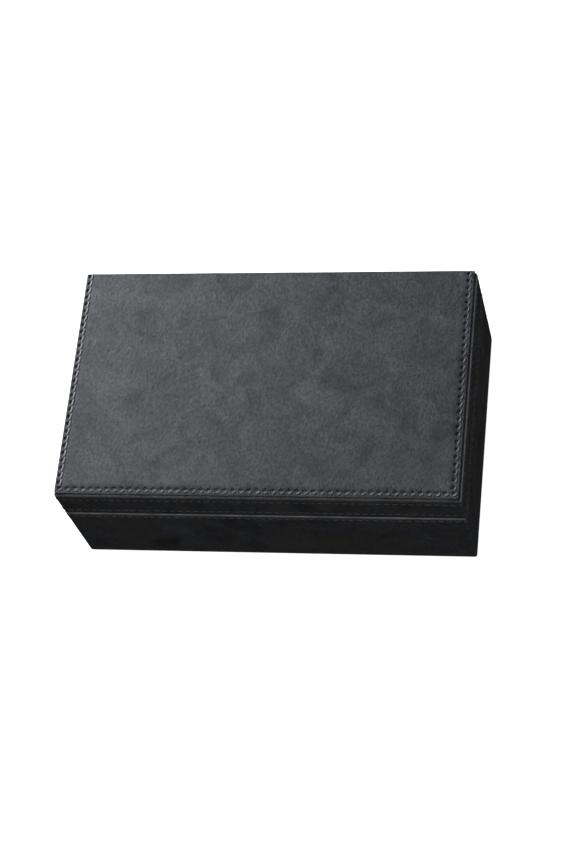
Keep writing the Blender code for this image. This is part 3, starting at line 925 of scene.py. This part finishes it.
# ---------------------------------------------------------------- studio

CAMERA_AZIMUTH = 26.82
CAMERA_ELEVATION = 61.69
CAMERA_ROLL = -23.58
CAMERA_DISTANCE = 1.6451
CAMERA_ASIDE = (0.00368, -0.00847)
CAMERA_LENS = 90.07

LIGHT_TARGET = Vector((0.0, 0.0, 0.1))


def build_camera():
    """The camera, which looks down at the box from the front right, and is rolled."""
    azimuth, elevation = math.radians(CAMERA_AZIMUTH), math.radians(CAMERA_ELEVATION)
    data = bpy.data.cameras.new("camera")
    data.lens = CAMERA_LENS
    data.sensor_width = 36.0
    camera = bpy.data.objects.new("camera", data)
    turn = Euler((math.pi / 2 - elevation, 0.0, azimuth)).to_matrix()
    turn = turn @ Euler((0.0, 0.0, math.radians(CAMERA_ROLL))).to_matrix()
    camera.rotation_euler = turn.to_euler()
    camera.location = turn @ Vector((-CAMERA_ASIDE[0], -CAMERA_ASIDE[1], CAMERA_DISTANCE))
    bpy.context.scene.collection.objects.link(camera)
    bpy.context.scene.camera = camera


def soft_light(name, azimuth, elevation, distance, power):
    """A square soft box aimed at the box. Azimuth 0 is behind it and 90 is at its left."""
    data = bpy.data.lights.new(name, "AREA")
    data.size = distance / 2
    data.energy = power
    a, e = math.radians(azimuth), math.radians(elevation)
    towards = Vector((-math.sin(a) * math.cos(e), math.cos(a) * math.cos(e), math.sin(e)))
    lamp = bpy.data.objects.new(name, data)
    lamp.location = LIGHT_TARGET + towards * distance
    lamp.rotation_euler = (-towards).to_track_quat("-Z", "Y").to_euler()
    bpy.context.scene.collection.objects.link(lamp)


def build_floor():
    """A plain white floor, which doesn't light the box from below."""
    made, _, shader = new_material("floor_white", Roughness=0.9, Emission_Strength=0.93)
    shader.inputs["Base Color"].default_value = (0.9, 0.9, 0.9, 1.0)
    shader.inputs["Emission Color"].default_value = (1.0, 1.0, 1.0, 1.0)
    reach = 12.0
    corners = [(-reach, -reach, 0.0), (reach, -reach, 0.0), (reach, reach, 0.0), (-reach, reach, 0.0)]
    mesh = bpy.data.meshes.new("floor")
    mesh.from_pydata(corners, [], [[0, 1, 2, 3]])
    mesh.materials.append(made)
    floor = bpy.data.objects.new("floor", mesh)
    floor.location.z = -0.0002
    floor.visible_diffuse = False
    floor.visible_glossy = False
    bpy.context.scene.collection.objects.link(floor)


def build_world():
    """A dim fill, which is dimmer from the right, and which the camera sees as plain white."""
    world = bpy.data.worlds.new("studio")
    world.use_nodes = True
    tree = world.node_tree
    output = tree.nodes["World Output"]
    fill = tree.nodes["Background"]
    direction = node(tree, "TexCoord").outputs["Generated"]
    aside = node(tree, "SeparateXYZ", {0: direction}).outputs["X"]
    shaded = spread(tree, aside, -0.3, 0.8)
    tree.links.new(mix(tree, shaded, (0.94, 0.96, 1.0, 1.0), grey(0.20)), fill.inputs["Color"])
    fill.inputs["Strength"].default_value = 0.080
    backdrop = node(tree, "Background", {"Color": (1.0, 1.0, 1.0, 1.0), "Strength": 1.0})
    seen = node(tree, "LightPath").outputs["Is Camera Ray"]
    blend = node(tree, "MixShader", {0: seen, 1: fill.outputs[0], 2: backdrop.outputs[0]})
    tree.links.new(blend.outputs[0], output.inputs["Surface"])
    bpy.context.scene.world = world


def build_studio():
    build_camera()
    build_floor()
    build_world()
    soft_light("key", 57, 37, 0.75, 4.2)
    soft_light("rear", 30, 35, 1.2, 3.2)
    soft_light("fill", 150, 72, 1.2, 2.9)
    soft_light("front", 200, 12, 1.5, 3.7)
    soft_light("right", 272, 10, 1.5, 2.8)
    bpy.context.scene.view_settings.view_transform = "Standard"


# ---------------------------------------------------------------- the box

def build_box():
    cover = cover_leather()
    side = side_leather()
    top_thread = thread("thread", 0.30)
    # Painted shade: the wall stitches are the same thread with a darker tone, as the walls stand in shade.
    wall_thread_shaded = thread("wall_thread_shaded", 0.11)

    top_holes = top_seam_holes()
    left_holes = rear_seam_holes(LEFT_ROW, SEWN_LEFT)
    right_holes = rear_seam_holes(RIGHT_ROW, SEWN_RIGHT)
    build_cover(cover, top_holes + left_holes + right_holes)
    for name, holes, body, replaced in (
        ("top_stitching", top_holes, "lid", "lid_top_thread"),
        ("rear_stitching_left", left_holes, "base", "base_rear_thread_left"),
        ("rear_stitching_right", right_holes, "base", "base_rear_thread_right"),
    ):
        threads = [cover_stitch(row, hole) for row, hole in holes]
        stitching(name, threads, THREAD_R, 9, top_thread, body, replaced)

    lid_seams = {"upper": LID_HIGH.z - WALL_SEAM_MARGIN, "rim": LID_LOW.z + WALL_SEAM_MARGIN}
    base_seam = BASE_HIGH.z - WALL_SEAM_MARGIN
    lid_wall = build_wrap(
        "lid_leather", LID_LOW, LID_HIGH, LID_BOTTOM_FLANGE, LID_TOP_FLANGE, list(lid_seams.values()),
        LID_RIGHT_HIGHLIGHT, side, "lid", "lid_wrap",
    )
    base_wall = build_wrap(
        "base_leather", BASE_LOW, BASE_HIGH, BASE_BOTTOM_FLANGE, BASE_TOP_FLANGE, [base_seam],
        BASE_RIGHT_HIGHLIGHT, side, "base", "base_wrap",
    )
    for name, z in lid_seams.items():
        wall_seam(f"lid_{name}_stitching", lid_wall, z, wall_thread_shaded, "lid", f"lid_{name}_thread")
    wall_seam("base_rim_stitching", base_wall, base_seam, wall_thread_shaded, "base", "base_rim_thread")

    low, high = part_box("base_bottom_sheet")
    rounded_slab(
        "bottom_leather", low, high, SHEET_CORNER_R, SHEET_EDGE_R, side,
        "base", "base_bottom_sheet",
    )
    low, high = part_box("lid_foam_pad")
    pad = rounded_slab(
        "foam_pad", low, high, PAD_CORNER_R, PAD_EDGE_R, foam(), "lid", "lid_foam_pad",
    )
    finish_cad_nodes({
        "suede_lining": suede(), "greyboard": greyboard(), "magnet_plating": plated_steel(),
    })


build_box()
build_studio()
